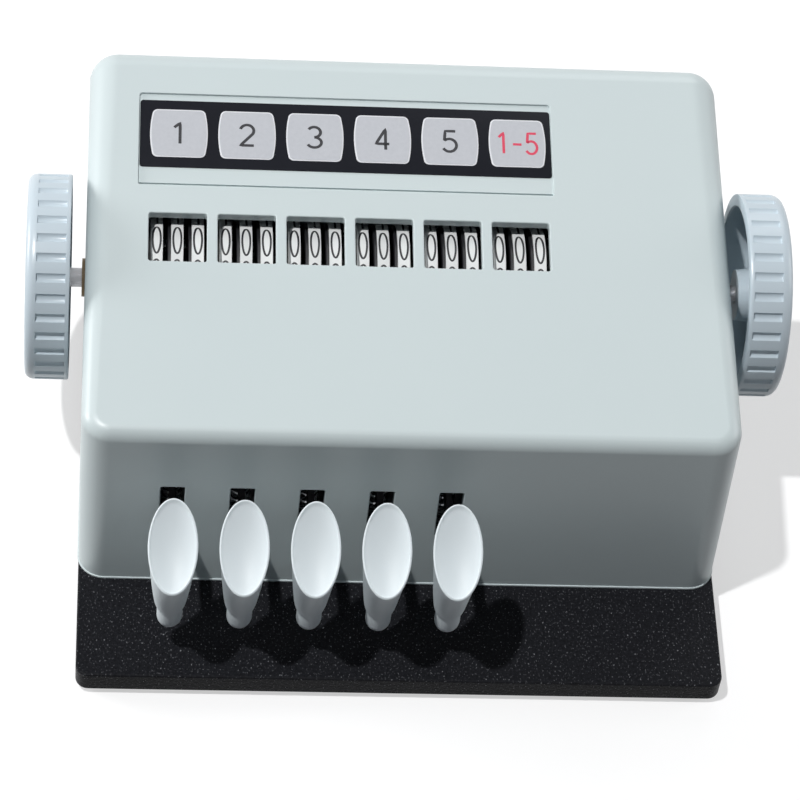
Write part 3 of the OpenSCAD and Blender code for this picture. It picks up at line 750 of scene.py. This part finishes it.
def key_cap(name):
    low, high = bounds_mm(f"key_cap_{name}")
    half = DISH_L / 2
    place = Matrix.Translation(((low.x + high.x) / 2, low.y + half * math.cos(DISH_TILT), 0))
    dish_z = high.z - half * math.sin(DISH_TILT)
    neck_z = low.z + NECK_H
    rings = [oval(r, r, low.z + z) for z, r in
             [(0, 1.2), (0.15, 2), (0.6, 2.8), (1.3, 3.35), (2.2, 3.7), (3.4, STEM_R)]]
    rings += [oval(STEM_R, STEM_R, neck_z - 0.1), oval(STEM_R, STEM_R, neck_z)]
    rim_z = dish_z - BRIM_H
    for k in range(21):
        t = k / 20
        a = STEM_R + LEDGE + (DISH_W / 2 - BRIM_STEP_W - STEM_R - LEDGE) * t ** BOWL_WIDE
        b = STEM_R + LEDGE + (half - BRIM_STEP_L - STEM_R - LEDGE) * t ** BOWL_LONG
        rings.append(oval(a, b, neck_z + 0.05 + (rim_z - neck_z - 0.05) * t, DISH_TILT * t))
    for k in range(9):
        turn = math.radians(-30 + 210 * k / 8)
        out, up = BRIM_ROUND * (math.cos(turn) - 1), BRIM_ROUND * (math.sin(turn) - 1)
        rings.append(oval(DISH_W / 2 + out, half + out, dish_z + up, DISH_TILT))
    for k in range(1, 15):
        t = 1 - k / 14.5
        rings.append(oval((DISH_W / 2 - BRIM_T) * t, (half - BRIM_T) * t,
                          dish_z - BRIM_DROP - (DISH_DEPTH - BRIM_DROP) * (1 - t * t), DISH_TILT))
    shape = Shape()
    shape.skin(rings, place=place)
    obj = shape.make(f"key_top_{name}", [FINISHES["key_plastic"]], 40)
    placed(obj, f"key_{name}", "key_plastic", f"key_cap_{name}")


# ---------------------------------------------------------------- counters

def digit_wheel(place_name, name):
    """White rim with black figures on a black core; the ratchet is on its right."""
    node = f"{place_name}_wheel_{name}"
    low, high = bounds_mm(node)
    axis = (low + high) / 2
    rim_r = (high.z - low.z) / 2
    x = COUNTER_X[name] + (PLACES.index(place_name) - 1) * WHEEL_PITCH
    to_axis = Matrix.Translation((x, axis.y, axis.z)) @ Matrix.Rotation(math.radians(90), 4, "Y")
    half = RIM_W / 2
    shape = Shape()
    shape.lathe([(-half, RIM_INNER_R), (-half, rim_r - RIM_BEVEL), (RIM_BEVEL - half, rim_r),
                 (half - RIM_BEVEL, rim_r), (half, rim_r - RIM_BEVEL), (half, RIM_INNER_R)], 120, 0, to_axis)
    flange = -half - FLANGE_W
    left = flange + HUB_SINK
    right = left + WHEEL_PITCH - WHEEL_GAP
    shape.lathe([(left, BORE_R), (left, HUB_R), (flange, HUB_R), (flange, FLANGE_R - 0.2),
                 (flange + 0.2, FLANGE_R), (-half, FLANGE_R), (-half, CORE_R), (WEB_X, CORE_R),
                 (WEB_X, BOSS_R), (half, BOSS_R), (half, HUB_R), (right, HUB_R), (right, BORE_R)],
                96, 1, to_axis)
    drop = RATCHET_DROP[place_name]
    tip = RATCHET_R - drop
    root = tip - TOOTH_H + drop * TOOTH_LOSS
    outline = []
    for k in range(10):
        a = TOOTH_LEAN + k * DIGIT_STEP
        low_r = root - (NOTCH[place_name] if k == 1 else 0)
        outline += [(low_r * math.cos(a), low_r * math.sin(a)), (tip * math.cos(a), tip * math.sin(a))]
    shape.skin([[(x + w, axis.y + p, axis.z + q) for p, q in outline]
                for w in (half + 0.02, half + 0.05 + RATCHET_T)], 1)
    for figure in range(10):
        centre = ZERO_AT - DIGIT_STEP * figure

        def lay(across, up, height):
            turn = centre - up / rim_r
            r = rim_r + height
            return Vector((x + across, axis.y + r * math.cos(turn), axis.z + r * math.sin(turn)))

        print_figure(shape, str(figure), FIGURE_W, FIGURE_H, FIGURE_STROKE, lay, 2)
    obj = shape.make(f"wheel_{place_name}_{name}", [FINISHES["digit_wheel"], WHEEL_BLACK, INK_BLACK])
    placed(obj, node, "digit_wheel", node)


# ---------------------------------------------------------------- knobs

def knob(side):
    """A cup turned open towards the case, with grooves round its rim."""
    node = f"{side}_knob"
    low, high = bounds_mm(node)
    axis = (low + high) / 2
    outer_r = (high.z - low.z) / 2
    width = high.x - low.x
    sign = 1 if side == "right" else -1
    start = low.x if side == "right" else high.x
    face_z = width - KNOB_FACE_T
    # each point is (distance from the open side, radius, share of the grooves' depth)
    profile = [(0.5, SHAFT_HOLE_R, 0), (0.5, KNOB_HUB_R, 0), (face_z - 0.6, KNOB_HUB_R + 0.8, 0),
               (face_z, KNOB_HUB_R + 1.6, 0), (face_z, KNOB_RIM_R - 2, 0), (face_z - 0.6, KNOB_RIM_R - 1, 0),
               (0.4, KNOB_RIM_R, 0), (0, KNOB_RIM_R + 0.4, 0)]
    profile += [(0, outer_r - 0.5, 0), (0.15, outer_r - 0.15, 0), (0.5, outer_r, 0),
                (1.25, outer_r, 0), (1.35, outer_r, 0.9), (1.6, outer_r, 1)]
    bevel_z = width - KNOB_BEVEL
    profile += [(bevel_z - 0.6, outer_r, 1), (bevel_z - 0.35, outer_r, 0.9), (bevel_z - 0.25, outer_r, 0),
                (bevel_z, outer_r, 0)]
    for k in range(1, 9):
        a = math.radians(90 * k / 8)
        drop = 0.8 * KNOB_BEVEL * (1 - math.cos(a))
        profile.append((bevel_z + KNOB_BEVEL * math.sin(a), outer_r - drop, 0))
    sink_z = width - KNOB_SINK
    profile += [(width, 5, 0), (width - 0.4, 4.6, 0), (sink_z, 4, 0), (sink_z, KNOB_SCREW_R, 0),
                (face_z, KNOB_SCREW_R, 0), (face_z, SHAFT_HOLE_R, 0)]
    rings = []
    for z, r, share in profile:
        ring = []
        for k in range(GROOVES * GROOVE_POINTS):
            turn = math.tau * k / (GROOVES * GROOVE_POINTS)
            off = ((k % GROOVE_POINTS) / GROOVE_POINTS - 0.5) * math.tau * outer_r / GROOVES
            depth = share * GROOVE_D * math.sqrt(max(0, 1 - (2 * off / GROOVE_W) ** 2))
            ring.append((sign * z, (r - depth) * math.cos(turn), (r - depth) * math.sin(turn)))
        rings.append(ring)
    shape = Shape()
    shape.skin(rings, place=Matrix.Translation((start, axis.y, axis.z)), round_trip=True)
    obj = shape.make(f"knob_{side}", [FINISHES["knob_plastic"]], 35)
    placed(obj, f"{side}_reset", "knob_plastic", node)


housing()
foot_bead()
base_plate()
label()
for counter in COUNTERS:
    for wheel_place in PLACES:
        digit_wheel(wheel_place, counter)
for key in KEYS:
    key_cap(key)
knob("left")
knob("right")


# ---------------------------------------------------------------- studio

# the light that the sky and the floor give, which is dimmer than they look
SKY = (0.03, 0.035, 0.044)
FLOOR_BOUNCE = (0.13, 0.13, 0.135)
FLOOR_SIZE = 6000
# the camera as fitted to the photograph, in metres and degrees
LENS = 158.56
CAMERA_PLACE = (-0.09507, -0.66743, 0.92655)
CAMERA_TURN = (36.731, -4.745, -1.831)
# what the lamps point at
AIM = (0, 0, 0.05)


def floor():
    """A plain pale floor: white to the camera and in reflections, grey in the light it throws back."""
    finish = Finish("pale_floor", (0.9, 0.9, 0.9), 0.7, Specular_IOR_Level=0, Emission_Strength=1)
    direct = finish.node("LightPath", output="Is Camera Ray")
    mirror = finish.node("LightPath", output="Is Glossy Ray")
    through = finish.node("LightPath", output="Is Transmission Ray")
    seen = direct + mirror + through
    finish.paint("Base Color", finish.blend(seen, FLOOR_BOUNCE, (0.5, 0.5, 0.5)))
    finish.paint("Emission Color", finish.blend(seen, (0, 0, 0), (0.55, 0.55, 0.55)))
    shape = Shape()
    corners = [(-1, -1), (1, -1), (1, 1), (-1, 1)]
    shape.add([(x * FLOOR_SIZE, y * FLOOR_SIZE, 0) for x, y in corners], [[0, 1, 2, 3]])
    obj = shape.make("floor", [finish.material])


def world():
    """A dim soft sky that shows as white."""
    sky = bpy.data.worlds.new("studio")
    bpy.context.scene.world = sky
    sky.use_nodes = True
    tree = sky.node_tree
    background = next(n for n in tree.nodes if n.type == "BACKGROUND")
    path = tree.nodes.new("ShaderNodeLightPath")
    seen = path.outputs["Is Camera Ray"]
    for ray in ("Is Glossy Ray", "Is Transmission Ray"):
        either = tree.nodes.new("ShaderNodeMath")
        either.operation = "MAXIMUM"
        tree.links.new(seen, either.inputs[0])
        tree.links.new(path.outputs[ray], either.inputs[1])
        seen = either.outputs[0]
    mix = tree.nodes.new("ShaderNodeMix")
    mix.data_type = "RGBA"
    mix.inputs[6].default_value = (*SKY, 1)
    mix.inputs[7].default_value = (1, 1, 1, 1)
    tree.links.new(seen, mix.inputs["Factor"])
    tree.links.new(mix.outputs[2], background.inputs["Color"])


def lamp(name, place, size, watts):
    light = bpy.data.lights.new(name, "AREA")
    light.shape = "DISK"
    light.size = size
    light.energy = watts
    obj = bpy.data.objects.new(name, light)
    obj.location = place
    obj.rotation_euler = (Vector(AIM) - Vector(place)).to_track_quat("-Z", "Y").to_euler()
    bpy.context.scene.collection.objects.link(obj)


def camera():
    data = bpy.data.cameras.new("camera")
    data.sensor_width = 36
    data.lens = LENS
    data.clip_end = 20
    obj = bpy.data.objects.new("camera", data)
    obj.location = CAMERA_PLACE
    obj.rotation_euler = Euler([math.radians(a) for a in CAMERA_TURN], "XYZ")
    bpy.context.scene.collection.objects.link(obj)
    bpy.context.scene.camera = obj


floor()
world()
lamp("key_lamp", (-1.95, -0.6, 5.6), 0.2, 262)
lamp("back_lamp", (0.5, 1.3, 1.1), 0.9, 4)
lamp("left_lamp", (-1.2, 0.3, 0.4), 0.5, 9)
lamp("right_lamp", (1.3, 0.2, 0.5), 0.8, 5)
camera()
bpy.context.scene.view_settings.view_transform = "Standard"
